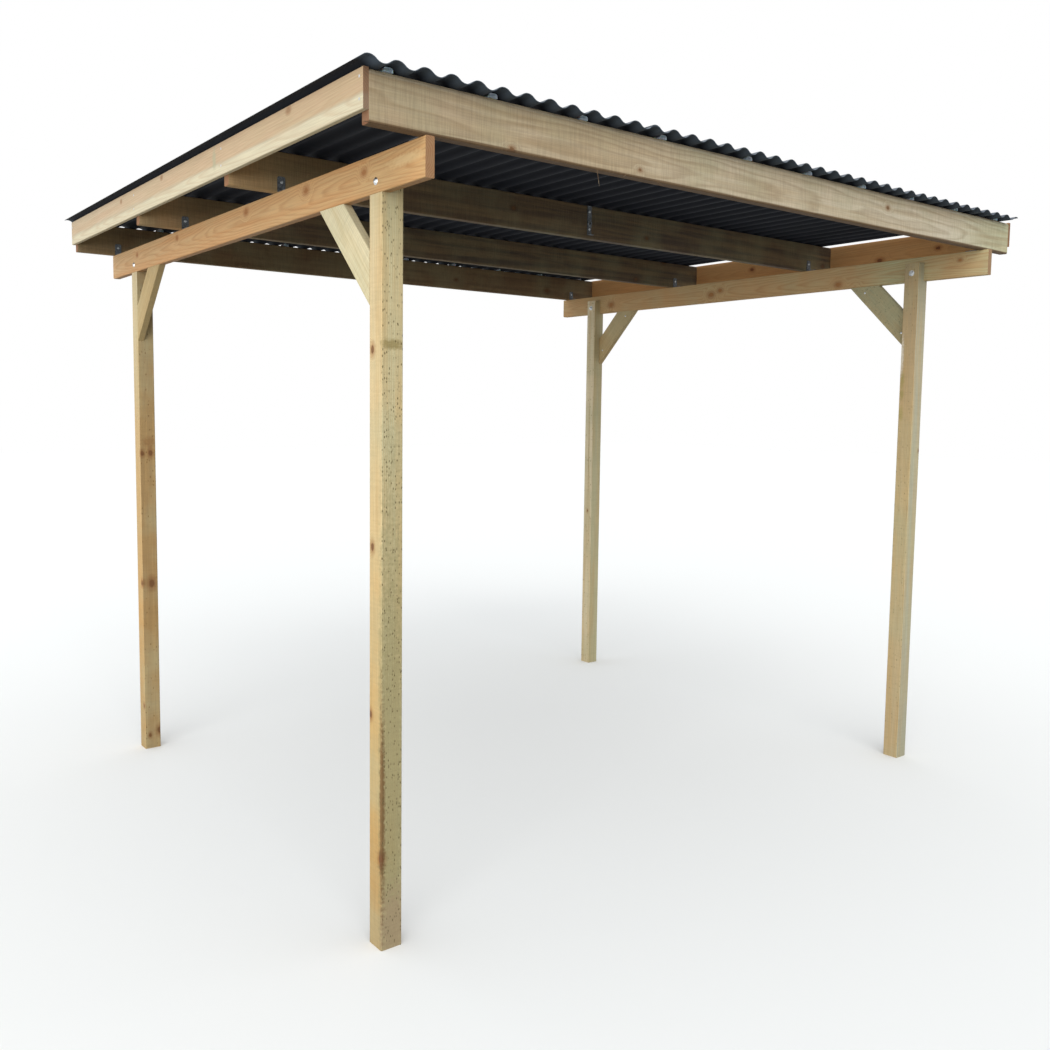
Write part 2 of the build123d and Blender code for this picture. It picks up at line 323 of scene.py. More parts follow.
# Year rings, pushed aside by slow waves along the log and by the knots
ringSetup = {
    "wave": (1.3, 10.0, 10.0),       # 0.8 m long, 100 mm wide
    "profile": [(0.0, 0.0), (0.45, 0.15), (0.80, 1.0), (0.93, 0.5), (1.0, 0.0)],  # spring to summer wood
}


def yearRings(tree, setup, board, parts, seeded, nearest):
    swell = put(tree, "ShaderNodeMapRange", {"Value": nearest, **rising(*knotSetup["swell"])},
                interpolation_type="SMOOTHERSTEP")
    waveSpace = put(tree, "ShaderNodeMapping", {"Vector": (seeded, 0), "Scale": ringSetup["wave"]})
    slow = put(tree, "ShaderNodeTexNoise", {"Vector": (waveSpace, 0), "Scale": 1.0, "Detail": 3.0})
    pithPlace = (0, *(part * mm for part in setup["pithMm"]))
    pith = put(tree, "ShaderNodeVectorMath", {0: (board, 0), 1: pithPlace}, operation="ADD")
    flat = put(tree, "ShaderNodeVectorMath", {0: (pith, 0), 1: (0.0, 1.0, 1.0)}, operation="MULTIPLY")
    radius = put(tree, "ShaderNodeVectorMath", {0: (flat, 0)}, operation="LENGTH")
    tapered = put(tree, "ShaderNodeMath", {0: (parts, 0), 1: setup["taper"], 2: (radius, "Value")},
                  operation="MULTIPLY_ADD")
    waveReach = figureSetup["noiseSpan"] * setup["waveMm"] * mm
    waved = put(tree, "ShaderNodeMath", {0: (slow, 0), 1: waveReach, 2: (tapered, 0)},
                operation="MULTIPLY_ADD")
    bulged = put(tree, "ShaderNodeMath", {0: (swell, 0), 1: knotSetup["swellMm"] * mm, 2: (waved, 0)},
                 operation="MULTIPLY_ADD")
    counted = put(tree, "ShaderNodeMath", {0: (bulged, 0), 1: setup["ringMm"] * mm}, operation="DIVIDE")
    ring = put(tree, "ShaderNodeMath", {0: (counted, 0)}, operation="FRACT")
    ringTone = put(tree, "ShaderNodeValToRGB", {"Fac": (ring, 0)}, stops=ringSetup["profile"])
    return ringTone, 0


# Bands run the length of the board, with a border that wanders: sapwood on the fascias, and on the front beam
# a painted highlight and a painted shadow line along its top
def bandLayers(tree, bands, parts, streak):
    layers = []
    for lowMm, highMm, softMm, wobbleMm, tint, amount in bands:
        wobble = figureSetup["noiseSpan"] * wobbleMm * mm
        height = put(tree, "ShaderNodeMath", {0: (streak, 0), 1: wobble, 2: (parts, 1)},
                     operation="MULTIPLY_ADD")
        start, stop, soft = lowMm * mm + wobble / 2, highMm * mm + wobble / 2, softMm * mm
        above = put(tree, "ShaderNodeMapRange", {"Value": (height, 0), **rising(start - soft, start + soft)})
        below = put(tree, "ShaderNodeMapRange", {"Value": (height, 0),
                                                 **rising(stop + soft, stop - soft, amount)})
        both = put(tree, "ShaderNodeMath", {0: (above, 0), 1: (below, 0)}, operation="MULTIPLY")
        layers.append(((both, 0), tint, "MIX"))
    return layers


# Stains: resin, water marks and paler spots, as ragged ovals
stainSetup = {
    "ragged": 1.2,
    "edge": (1.75, 1.05),            # in half sizes, with the raggedness added
}


def stainLayers(tree, stains, place, rough):
    layers = []
    for spot, halfSizes, tint, amount in stains:
        scaled = put(tree, "ShaderNodeMapping", {"Vector": (place, "Object"), "Location": Vector(spot) * mm,
                                                 "Scale": Vector(halfSizes) * mm}, vector_type="TEXTURE")
        distance = put(tree, "ShaderNodeVectorMath", {0: (scaled, 0)}, operation="LENGTH")
        ragged = put(tree, "ShaderNodeMath", {0: (rough, 0), 1: stainSetup["ragged"], 2: (distance, "Value")},
                     operation="MULTIPLY_ADD")
        mask = put(tree, "ShaderNodeMapRange", {"Value": (ragged, 0), **rising(*stainSetup["edge"], amount)})
        layers.append(((mask, 0), tint, "MIX"))
    return layers


# Lines left by the saw, square to the grain
sawSetup = {
    "across": 14.0,                  # cells per metre, 71 mm long
    "edge": (0.36, 0.58),
    "relief": 1.2,
}


def sawMarks(tree, setup, seeded, relief):
    scale = (1000 / setup["sawMm"], sawSetup["across"], sawSetup["across"])
    sawSpace = put(tree, "ShaderNodeMapping", {"Vector": (seeded, 0), "Scale": scale})
    saw = put(tree, "ShaderNodeTexNoise", {"Vector": (sawSpace, 0), "Scale": 1.0, "Detail": 2.0})
    start, stop = sawSetup["edge"]
    shade = put(tree, "ShaderNodeValToRGB", {"Fac": (saw, 0)},
                stops=[(start, 1.0 - setup["sawDepth"]), (stop, 1.0)])
    relief = put(tree, "ShaderNodeMath", {0: (saw, 0), 1: sawSetup["relief"], 2: relief},
                 operation="MULTIPLY_ADD")
    return (1.0, (shade, 0), "MULTIPLY"), (relief, 0)


# Torn pits of a rough planed face, longer along the grain, that leave some places free
pitSetup = {
    "stretch": (0.5, 1.0, 1.0),
    "full": 0.4,                     # share of the pit's radius
    "amount": 0.9,
    "faceEdges": (0.2, 0.6),
    "otherFaces": 0.12,
    "some": [(0.35, 0.0), (0.55, 1.0)],
    "relief": -2.0,
}


def tornPits(tree, setup, place, seeded, relief):
    cellMm, dotShare, tint, direction = setup["specks"]
    pitSpace = put(tree, "ShaderNodeMapping", {"Vector": (seeded, 0), "Scale": pitSetup["stretch"]})
    cell = put(tree, "ShaderNodeTexVoronoi", {"Vector": (pitSpace, 0), "Scale": 1000 / cellMm})
    pit = put(tree, "ShaderNodeMapRange", {"Value": (cell, "Distance"), **rising(
        dotShare, dotShare * pitSetup["full"], pitSetup["amount"])})
    there = faceMask(tree, place, direction, 1.0, pitSetup["faceEdges"], pitSetup["otherFaces"])
    some = put(tree, "ShaderNodeValToRGB", {"Fac": (cell, "Color")}, stops=pitSetup["some"])
    pit = put(tree, "ShaderNodeMath", {0: (pit, 0), 1: there}, operation="MULTIPLY")
    pit = put(tree, "ShaderNodeMath", {0: (pit, 0), 1: (some, 0)}, operation="MULTIPLY")
    relief = put(tree, "ShaderNodeMath", {0: (pit, 0), 1: pitSetup["relief"], 2: relief},
                 operation="MULTIPLY_ADD")
    return ((pit, 0), tint, "MIX"), (relief, 0)


def makeTimber(name, node, setup):
    seed = len(bpy.data.materials) * figureSetup["seedStep"]
    low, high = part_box(node)
    grain, width = Vector(setup["grain"]).normalized(), Vector(setup["width"]).normalized()
    turn = Matrix((grain, width, grain.cross(width))).transposed().to_euler()
    length = sum(abs(part) * (stop - start) for part, start, stop in zip(grain, low, high))
    material, tree = startMaterial(name)

    # The board's own space (along, across, through), and its own place in the log
    place = put(tree, "ShaderNodeTexCoord")
    board = put(tree, "ShaderNodeMapping", {"Vector": (place, "Object"), "Location": (low + high) / 2,
                                            "Rotation": turn}, vector_type="TEXTURE")
    parts = put(tree, "ShaderNodeSeparateXYZ", {0: (board, 0)})
    seeded = put(tree, "ShaderNodeVectorMath", {0: (board, 0), 1: (seed, seed * figureSetup["seedAside"], 0)},
                 operation="ADD")
    facing = put(tree, "ShaderNodeMapping", {"Vector": (place, "Normal"), "Rotation": turn},
                 vector_type="TEXTURE")

    rough = put(tree, "ShaderNodeTexNoise", {"Vector": (seeded, 0), "Scale": figureSetup["rough"],
                                             "Detail": 2.0})
    fibreSpace = put(tree, "ShaderNodeMapping", {"Vector": (seeded, 0), "Scale": figureSetup["fibre"]})
    fibre = put(tree, "ShaderNodeTexNoise", {"Vector": (fibreSpace, 0), "Scale": 1.0, "Detail": 4.0})
    streakSpace = put(tree, "ShaderNodeMapping", {"Vector": (seeded, 0), "Scale": figureSetup["streak"]})
    streak = put(tree, "ShaderNodeTexNoise", {"Vector": (streakSpace, 0), "Scale": 1.0, "Detail": 4.0})
    cloud = put(tree, "ShaderNodeTexNoise", {"Vector": (seeded, 0), "Scale": figureSetup["cloud"],
                                             "Detail": 4.0})

    # Masks
    nearest = knotDistance(tree, place, rough, turn, placeKnots(setup, low, high))
    core = put(tree, "ShaderNodeMapRange", {"Value": nearest, **rising(*knotSetup["core"])})
    rim = put(tree, "ShaderNodeMapRange", {"Value": nearest, **rising(*knotSetup["rim"])})
    ringTone = yearRings(tree, setup, board, parts, seeded, nearest)
    late = put(tree, "ShaderNodeMath", {0: ringTone, 1: setup["ringContrast"]}, operation="MULTIPLY")
    start, stop = figureSetup["streakMask"]
    patchMask = put(tree, "ShaderNodeValToRGB", {"Fac": (streak, 0)},
                    stops=[(start, 0.0), (stop, setup["patchAmount"])])
    start, stop = figureSetup["cloudMask"]
    greenMask = put(tree, "ShaderNodeValToRGB", {"Fac": (cloud, 0)},
                    stops=[(start, 0.0), (stop, setup["greenAmount"])])
    fibreShade = put(tree, "ShaderNodeValToRGB", {"Fac": (fibre, 0)}, stops=figureSetup["fibreShade"])
    square = put(tree, "ShaderNodeSeparateXYZ", {0: (facing, 0)})
    square = put(tree, "ShaderNodeMath", {0: (square, 0)}, operation="ABSOLUTE")
    endMask = put(tree, "ShaderNodeMapRange", {"Value": (square, 0), **rising(*figureSetup["endMask"])})
    endTone = paintOver(tree, setup["end"], [(ringTone, setup["endRing"], "MIX")])

    # Colour, from the wood outwards. Cut ends face along the grain and hide the figure of the sides.
    share = put(tree, "ShaderNodeMapRange", {"Value": (parts, 0), **rising(-length / 2, length / 2)})
    tone = (put(tree, "ShaderNodeValToRGB", {"Fac": (share, 0)}, stops=setup["tones"]), 0)
    layers = []
    # Tints by the way a face looks; on the undersides of the left side beam, left fascia and front beam they
    # are painted shade
    for direction, tint, amount in setup["faces"]:
        layers.append((faceMask(tree, place, direction, amount), tint, "MIX"))
    layers.append(((patchMask, 0), setup["patch"], "MIX"))
    layers.append(((greenMask, 0), setup["green"], "MIX"))
    layers += bandLayers(tree, setup["bands"], parts, streak)
    layers.append(((late, 0), setup["late"], "MIX"))
    layers.append((setup["fibreAmount"], (fibreShade, 0), "MULTIPLY"))
    layers += stainLayers(tree, setup["stains"], place, rough)
    layers.append(((rim, 0), knotSetup["rimTint"], "MULTIPLY"))
    layers.append(((core, 0), setup["knot"], "MIX"))
    layers.append(((endMask, 0), endTone, "MIX"))

    # Relief: fibres and summer wood stand out, and the saw and the plane leave their marks
    relief = put(tree, "ShaderNodeMath", {0: (fibre, 0), 1: figureSetup["fibreRelief"], 2: (late, 0)},
                 operation="MULTIPLY_ADD")
    relief = (relief, 0)
    if setup["sawMm"]:
        layer, relief = sawMarks(tree, setup, seeded, relief)
        layers.append(layer)
    if setup["specks"]:
        layer, relief = tornPits(tree, setup, place, seeded, relief)
        layers.append(layer)
    bump = put(tree, "ShaderNodeBump", {"Height": relief, "Strength": setup["bump"],
                                        "Distance": setup["bumpMm"] * mm})
    tone = paintOver(tree, tone, layers)
    skin = put(tree, "ShaderNodeBsdfPrincipled", {"Base Color": tone, "Normal": (bump, 0),
                                                  "Roughness": setup["roughness"], "IOR": setup["ior"]})
    finishMaterial(tree, skin)
    return material


def dress(node, material):
    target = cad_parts[node]
    target.data.materials.clear()
    target.data.materials.append(material)
    for polygon in target.data.polygons:
        polygon.material_index = 0


# Posts: planed pine, golden on the outer faces, pale green where the preservative took
postDefaults = {
    "grain": upWay, "width": rightWay,
    "late": "#B08A55", "patch": "#C8A468", "patchAmount": 0.45, "green": "#BDBB95", "greenAmount": 0.45,
    "ringContrast": 0.35, "pithMm": (38.0, 30.0), "ringMm": 5.5,
    "end": "#C2A06D", "sawMm": 7.0, "sawDepth": 0.05, "knot": "#6B4524",
}
postLooks = {
    "post_front_left": {
        "tones": [(0.0, "#B98F55"), (0.25, "#CBA768"), (0.55, "#D6BE8C"), (1.0, "#DBCAA2")],
        "faces": [(frontWay, "#C6BD94", 0.85)],
        "specks": (6.5, 0.34, "#645834", frontWay),
        "knots": [(-1328, -1018, 1639, 8), (-1328, -1018, 1113, 8), (-1328, -1009, 652, 7),
                  (-1328, -1062, 258, 9)],
        "stains": [((-1296, -1067, 500), (60, 20, 900), "#948A60", 0.75),
                   ((-1290, -1067, 60), (60, 14, 130), "#A08A6C", 0.7),
                   ((-1296, -1067, 1652), (46, 12, 15), "#857440", 0.75),
                   ((-1327, -1066, 395), (12, 10, 330), "#6B4A22", 0.85)],
    },
    "post_front_right": {
        "tones": [(0.0, "#C9B389"), (0.5, "#CDBB8E"), (0.8, "#BFA983"), (1.0, "#B4A07C")],
        "faces": [(frontWay, "#B0B29C", 0.9)],
        "specks": (11.0, 0.2, "#8A7C50", leftWay),
        "knots": [(1322, -1021, 1330, 4)],
        "stains": [((1263, -967, 1626), (10, 10, 40), "#A09058", 0.85),
                   ((1263, -967, 1568), (10, 10, 26), "#A09058", 0.85),
                   ((1263, -966, 1486), (10, 12, 34), "#A89860", 0.8),
                   ((1263, -960, 1730), (12, 9, 90), "#DDD6C4", 0.8)],
    },
    "post_back_left": {
        "tones": [(0.0, "#BE8F52"), (0.3, "#C79F66"), (0.7, "#C9B084"), (1.0, "#D8CCAC")],
        "faces": [(frontWay, "#9A7C50", 0.8)],
        "specks": (12.0, 0.22, "#7A5C30", frontWay),
        "knots": [(-1319, 948, 1282, 7), (-1284, 948, 1284, 9), (-1289, 948, 723, 12), (-1267, 948, 75, 10),
                  (-1308, 948, 58, 6), (-1328, 956, 727, 8), (-1328, 960, 190, 6)],
        "stains": [((-1290, 948, 1330), (34, 10, 26), "#8A6237", 0.6)],
    },
    "post_back_right": {
        "tones": [(0.0, "#E2D3AC"), (0.6, "#E6D9B6"), (1.0, "#E8DEC0")],
        "faces": [(frontWay, "#B9B791", 0.75)],
        "specks": (14.0, 0.2, "#8A7448", leftWay),
        "knots": [(1263, 1002, 900, 5)],
        "stains": [((1263, 1000, 1250), (10, 5, 330), "#9A7A48", 0.6)],
    },
}

# Knee braces: sawn boards that lean from post to beam, the right front one mottled green
braceDefaults = {
    "tones": [(0.0, "#DCCFA8"), (1.0, "#DDD2B0")],
    "late": "#BBA474", "patch": "#CBB88A", "patchAmount": 0.35, "green": "#C2C3A0", "greenAmount": 0.35,
    "ringContrast": 0.3, "ringMm": 5.0, "pithMm": (30.0, 60.0),
    "sawMm": 5.0, "sawDepth": 0.08, "end": "#C2A778",
}
frontLean = {"grain": (0, 1, 1), "width": (0, 1, -1)}
backLean = {"grain": (0, -1, 1), "width": (0, -1, -1)}
braceLooks = {
    "brace_front_left": frontLean,
    "brace_front_right": {
        **frontLean,
        "tones": [(0.0, "#B0A57E"), (1.0, "#B4AB88")],
        "green": "#9FA98A", "greenAmount": 0.9,
        "specks": (7.0, 0.34, "#7F8466", leftWay),
    },
    "brace_back_left": {**backLean, "tones": [(0.0, "#B59C6C"), (1.0, "#AE9568")]},
    "brace_back_right": {**backLean, "tones": [(0.0, "#BFA272"), (1.0, "#B99C6C")]},
}

# Side beams: flat sawn boards with tall arches and red brown knots
sideDefaults = {
    "grain": backWay, "width": upWay,
    "late": "#A87440", "patch": "#C88D54", "patchAmount": 0.5, "green": "#B8B084", "greenAmount": 0.12,
    "ringContrast": 0.42, "ringMm": 6.5, "pithMm": (4.0, 46.0), "taper": 0.035, "waveMm": 12.0,
    "end": "#896647", "knot": "#9C6A3C", "roughness": 0.72,
}
sideLooks = {
    "side_beam_left": {
        "tones": [(0.0, "#CFA874"), (0.5, "#CFA776"), (1.0, "#D0AD80")],
        "knots": [(-1328, -973, 2104, 7), (-1328, -631, 2112, 8), (-1328, -195, 2115, 8),
                  (-1328, 455, 2115, 6), (-1328, 936, 2106, 6)],
        # The underside is darker: painted shade
        "faces": [(downWay, "#8C6A42", 0.8)],
        "stains": [((-1328, -1180, 2100), (20, 90, 16), "#D9BC8A", 0.6)],
    },
    "side_beam_right": {
        "tones": [(0.0, "#CCC092"), (0.06, "#C4AB7C"), (0.16, "#BDBD92"), (0.24, "#C8A474"),
                  (1.0, "#CBA776")],
        "green": "#B9BE96", "greenAmount": 0.3, "patch": "#C49C6C",
        "knots": [(1302, -607, 2062, 8), (1302, -1174, 2109, 5), (1302, 80, 2095, 8)],
        "spareKnots": 3,
    },
}

# Fascias: pinkish heartwood above a wavy border, cream sapwood below it
fasciaDefaults = {
    "grain": backWay, "width": upWay,
    "late": "#AF8C69", "patch": "#C0A283", "patchAmount": 0.55, "greenAmount": 0.12,
    "ringContrast": 0.28, "ringMm": 6.0, "pithMm": (20.0, 40.0), "taper": 0.03,
    "end": "#5C3C28", "knot": "#96795A",
    "bands": [(-60, -14, 1.6, 5, "#D0C7AA", 0.95), (-18, -9, 3, 5, "#B9B096", 0.6)],
}
fasciaLooks = {
    "fascia_left": {
        "tones": [(0.0, "#BFA583"), (0.5, "#C3AC8C"), (1.0, "#C8B59A")],
        "knots": [(-1498, -878, 2253, 6), (-1498, 112, 2253, 5), (-1498, 567, 2243, 5)],
        "stains": [((-1498, -362, 2226), (20, 16, 34), "#A3A184", 0.7)],
        # The underside is darker: painted shade
        "faces": [(downWay, "#B7A877", 0.8)],
    },
    "fascia_right": {
        "tones": [(0.0, "#D4A26C"), (1.0, "#CC9862")],
        "late": "#A87442", "patch": "#C08A54", "bands": [],
        "knots": [(1483, -973, 2200, 7), (1483, -695, 2176, 9), (1483, 30, 2210, 8)], "knot": "#6B3E20",
        "faces": [(rightWay, "#CDAE88", 0.9)],
    },
}

# Cross timbers: straight from the saw, the inner ones never planed, with painted light at their left ends
# that fades to painted shade towards the middle
crossDefaults = {
    "grain": rightWay, "width": upWay,
    "faces": [(backWay, "#AE9874", 0.85)],
    "late": "#8A7350", "patch": "#A68C64", "patchAmount": 0.4, "green": "#A3A27E", "greenAmount": 0.3,
    "ringContrast": 0.22, "ringMm": 7.0, "pithMm": (20.0, 90.0),
    "sawMm": 3.6, "sawDepth": 0.14, "end": "#875739", "knot": "#6B4A2B", "spareKnots": 3,
    "roughness": 0.85, "bump": 0.7,
}
crossLooks = {
    "front_beam": {
        "tones": [(0.0, "#B09B7D"), (0.25, "#BDAC8F"), (0.85, "#CDC2AA"), (1.0, "#C6C6A2")],
        # Along the face: a painted highlight on the top band where the eased upper edge catches the sky, a
        # thin painted shadow line beneath it, and a dark strip along the lower edge
        "bands": [(50, 59, 2, 2, "#8E8A80", 0.35), (56, 90, 1.2, 1, "#CDBB98", 0.8),
                  (-90, -55, 1.2, 3, "#5E452B", 0.9)],
        # The underside is darker: painted shade
        "faces": [(downWay, "#7A6448", 0.9)],
        "ringContrast": 0.34, "late": "#826A48",
        "knots": [(-1067, -1272.5, 2149, 5), (-610, -1272.5, 2163, 4), (620, -1272.5, 2215, 6)],
        "spareKnots": 0,
    },
    # Painted light at the left end, where light comes in low from the open left side, fading to painted shade
    # under the roof
    "purlin_front": {"tones": [(0.0, "#BE9E72"), (0.2, "#66533F"), (0.5, "#4F4236"), (1.0, "#564739")]},
    "purlin_rear": {"tones": [(0.0, "#BA9A70"), (0.2, "#64513E"), (0.5, "#4C4034"), (1.0, "#544537")]},
    "back_beam": {"tones": [(0.0, "#7A5F42"), (1.0, "#6E563E")]},
}

timber = {}
for finish, defaults, looks in (("planedPine_", postDefaults, postLooks),
                                ("sawnPine_", braceDefaults, braceLooks),
                                ("boardPine_", sideDefaults, sideLooks),
                                ("fasciaPine_", fasciaDefaults, fasciaLooks),
                                ("roughPine_", crossDefaults, crossLooks)):
    for name, look in looks.items():
        timber[name] = makeTimber(finish + name, name, {**timberDefaults, **defaults, **look})
        dress(name, timber[name])
print("timber finished")


# Dark corrugated sheet: rolled PVC, satin and dusty above, dull below, with chalked rims where it stands
# out in the weather
roofingSetup = {
    "above": ("#333B43", "#3F4852"),
    "below": ("#0C0F16", "#13161E"),
    "dust": 7.0,                # cells per metre, 140 mm
    "dustMask": (0.3, 0.7),
    "runs": (60.0, 2.5, 60.0),  # 17 mm wide and 400 mm long, down the sheet
    "runMask": (0.3, 0.75),
    "aboveMask": (-0.1, 0.1),   # by how far a face looks up
    "glossAbove": (0.26, 0.40),
    "glossBelow": 0.85,
    "chalk": "#4B5662",
    "chalkMm": (1262.0, 1300.0),  # from the middle of the roof
    "chalkAmount": 0.8,
    "bump": 0.15,
    "bumpMm": 1.0,
    "ior": 1.53,
    "specular": 0.2,
}


def makeRoofing(setup):
    material, tree = startMaterial("darkPvcSheet")
    place = put(tree, "ShaderNodeTexCoord")
    dust = put(tree, "ShaderNodeTexNoise", {"Vector": (place, "Object"), "Scale": setup["dust"],
                                            "Detail": 6.0})
    runs = put(tree, "ShaderNodeMapping", {"Vector": (place, "Object"), "Scale": setup["runs"]})
    streak = put(tree, "ShaderNodeTexNoise", {"Vector": (runs, 0), "Scale": 1.0, "Detail": 3.0})
    upper = faceMask(tree, place, upWay, 1.0, setup["aboveMask"])
    topTone, lowTone = (put(tree, "ShaderNodeValToRGB", {"Fac": (dust, 0)},
                            stops=list(zip(setup["dustMask"], tones)))
                        for tones in (setup["above"], setup["below"]))
    parts = put(tree, "ShaderNodeSeparateXYZ", {0: (place, "Object")})
    fromMiddle = put(tree, "ShaderNodeMath", {0: (parts, 1)}, operation="ABSOLUTE")
    start, full = setup["chalkMm"]
    chalked = put(tree, "ShaderNodeMapRange", {"Value": (fromMiddle, 0),
                                               **rising(start * mm, full * mm, setup["chalkAmount"])})
    tone = paintOver(tree, (lowTone, 0), [(upper, (topTone, 0), "MIX"),
                                          ((chalked, 0), setup["chalk"], "MIX")])
    topGloss = put(tree, "ShaderNodeValToRGB", {"Fac": (streak, 0)},
                   stops=list(zip(setup["runMask"], setup["glossAbove"])))
    gloss = put(tree, "ShaderNodeMapRange", {"Value": upper, "To Min": setup["glossBelow"],
                                             "To Max": (topGloss, 0)})
    bump = put(tree, "ShaderNodeBump", {"Height": (dust, 0), "Strength": setup["bump"],
                                        "Distance": setup["bumpMm"] * mm})
    skin = put(tree, "ShaderNodeBsdfPrincipled",
               {"Base Color": tone, "Roughness": (gloss, 0), "Normal": (bump, 0), "IOR": setup["ior"],
                "Specular IOR Level": setup["specular"]})
    finishMaterial(tree, skin)
    return material


# Zinc plated steel: bright, finely mottled by the crystals of the coating. Brackets and the strap get a
# darker, duller copy of it; its darker tone is painted shade where they sit under the roof.
zincSetup = {
    "name": "zincPlatedSteel",
    "crystalMm": 4.0,
    "mottle": (0.2, 0.8),
    "tones": ("#B9BDBF", "#DADCDD"),
    "gloss": (0.28, 0.45),
}
shadedZincSetup = {
    "name": "zincPaintedShade",
    "crystalMm": 3.0,
    "mottle": (0.2, 0.8),
    # Darker tones: painted shade for the brackets and strap under the roof
    "tones": ("#54575A", "#7E8285"),
    "gloss": (0.5, 0.7),
}


def makeZinc(setup):
    material, tree = startMaterial(setup["name"])
    place = put(tree, "ShaderNodeTexCoord")
    cells = put(tree, "ShaderNodeTexVoronoi", {"Vector": (place, "Object"),
                                               "Scale": 1000 / setup["crystalMm"]})
    tone, gloss = (put(tree, "ShaderNodeValToRGB", {"Fac": (cells, "Color")},
                       stops=list(zip(setup["mottle"], ends)))
                   for ends in (setup["tones"], setup["gloss"]))
    skin = put(tree, "ShaderNodeBsdfPrincipled", {"Base Color": (tone, 0), "Roughness": (gloss, 0),
                                                  "Metallic": 1.0})
    finishMaterial(tree, skin)
    return material


# Moulded polyethylene: milky, bluish where it is thin, a little dusty
milkySetup = {
    "name": "mouldedPolyethylene",
    "cloud": 120.0,             # cells per metre, 8 mm
    "mottle": (0.35, 0.65),
    "tones": ("#9DB0C0", "#C8D6E0"),
    "gloss": (0.32, 0.5),
    "ior": 1.51,
    "milk": 0.25,
    "milkMm": 4.0,
}


def makeMilkyPlastic(setup):
    material, tree = startMaterial(setup["name"])
    place = put(tree, "ShaderNodeTexCoord")
    cloud = put(tree, "ShaderNodeTexNoise", {"Vector": (place, "Object"), "Scale": setup["cloud"],
                                             "Detail": 3.0})
    tone, gloss = (put(tree, "ShaderNodeValToRGB", {"Fac": (cloud, 0)},
                       stops=list(zip(setup["mottle"], ends)))
                   for ends in (setup["tones"], setup["gloss"]))
    skin = put(tree, "ShaderNodeBsdfPrincipled",
               {"Base Color": (tone, 0), "Roughness": (gloss, 0), "IOR": setup["ior"],
                "Subsurface Weight": setup["milk"], "Subsurface Scale": setup["milkMm"] * mm})
    finishMaterial(tree, skin)
    return material


roofing = makeRoofing(roofingSetup)
zinc = makeZinc(zincSetup)
shadedZinc = makeZinc(shadedZincSetup)
milkyPlastic = makeMilkyPlastic(milkySetup)
for name in ("roof_sheet_left", "roof_sheet_middle", "roof_sheet_right"):
    dress(name, roofing)
for side in sideSign:
    for kind in ("bolts_", "washers_", "nuts_"):
        dress(kind + side, zinc)
    dress("brackets_" + side, shadedZinc)
dress("tie_strap", shadedZinc)
print("roofing and metal finished")


# A new piece starts alone in edit mode, is shaped there, and is then copied to its places
pieceSetup = {
    "sameWay": 0.99,            # cosine within which a face looks along a direction
    "smoothAngle": 35.0,
}


def startPiece(addPrimitive, **settings):
    bpy.ops.object.select_all(action="DESELECT")
    addPrimitive(location=(0, 0, 0), **settings)
    bpy.ops.object.mode_set(mode="EDIT")
    bpy.ops.mesh.select_mode(type="FACE")
    return bpy.context.object


def pickFacing(piece, *directions):
    bpy.ops.mesh.select_mode(type="FACE")
    bpy.ops.mesh.select_all(action="DESELECT")
    mesh = bmesh.from_edit_mesh(piece.data)
    for face in mesh.faces:
        looks = [face.normal.dot(Vector(direction)) > pieceSetup["sameWay"] for direction in directions]
        face.select_set(any(looks))
    bmesh.update_edit_mesh(piece.data)


def copyTo(model, places, name, material):
    bpy.ops.object.mode_set(mode="OBJECT")
    bpy.ops.object.select_all(action="DESELECT")
    for place in places:
        copy = bpy.data.objects.new(name, model.data.copy())
        copy.data.transform(place)
        bpy.context.scene.collection.objects.link(copy)
        copy.select_set(True)
        bpy.context.view_layer.objects.active = copy
    if len(places) > 1:
        bpy.ops.object.join()
    piece = bpy.context.view_layer.objects.active
    piece.name = name
    piece.data.materials.clear()
    piece.data.materials.append(material)
    bpy.ops.object.shade_smooth_by_angle(angle=math.radians(pieceSetup["smoothAngle"]))
    bpy.data.objects.remove(model)
    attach(piece, "root")


# Where a head sits: its underside at a place in millimetres, facing a direction
def headAt(x, y, z, direction):
    turned = Vector(direction).to_track_quat("Z", "Y").to_matrix().to_4x4()
    return Matrix.Translation(Vector((x, y, z)) * mm) @ turned


# The corners of a CAD node in millimetres
def boxMm(node):
    low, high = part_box(node)
    return low / mm, high / mm


# Screw heads: a low dome with a sunk drive, in the brackets, braces and the tie strap
screwSetup = {
    "headRadius": 4.6,
    "headHeight": 2.4,
    "headSides": 18,
    "domeBevel": 1.3,
    "driveRadius": 1.9,
    "driveDepth": 1.5,
    "domeSteps": 3,
    "gauge": 2.0,               # of the brackets
    "bracketReach": 31.0,       # from the bracket's corner, on both legs
    "strapReach": 22.5,         # from both ends of the strap
    "strapSeat": 2.0,           # off the timber, a little into the strap
    "braceFar": 210.0,          # brace screws, from the post and under the beam
    "braceNear": 27.0,
    "braceSink": 0.6,           # into the wood
}


def screwHead(setup):
    radius, height = setup["headRadius"] * mm, setup["headHeight"] * mm
    piece = startPiece(bpy.ops.mesh.primitive_cylinder_add, vertices=setup["headSides"], radius=radius,
                       depth=height)
    bpy.ops.transform.translate(value=(0, 0, height / 2))
    pickFacing(piece, upWay)
    bpy.ops.mesh.bevel(offset=setup["domeBevel"] * mm, segments=setup["domeSteps"])
    pickFacing(piece, upWay)
    bpy.ops.mesh.inset(thickness=radius - (setup["domeBevel"] + setup["driveRadius"]) * mm)
    bpy.ops.mesh.extrude_region_move(TRANSFORM_OT_translate={"value": (0, 0, -setup["driveDepth"] * mm)})
    return piece


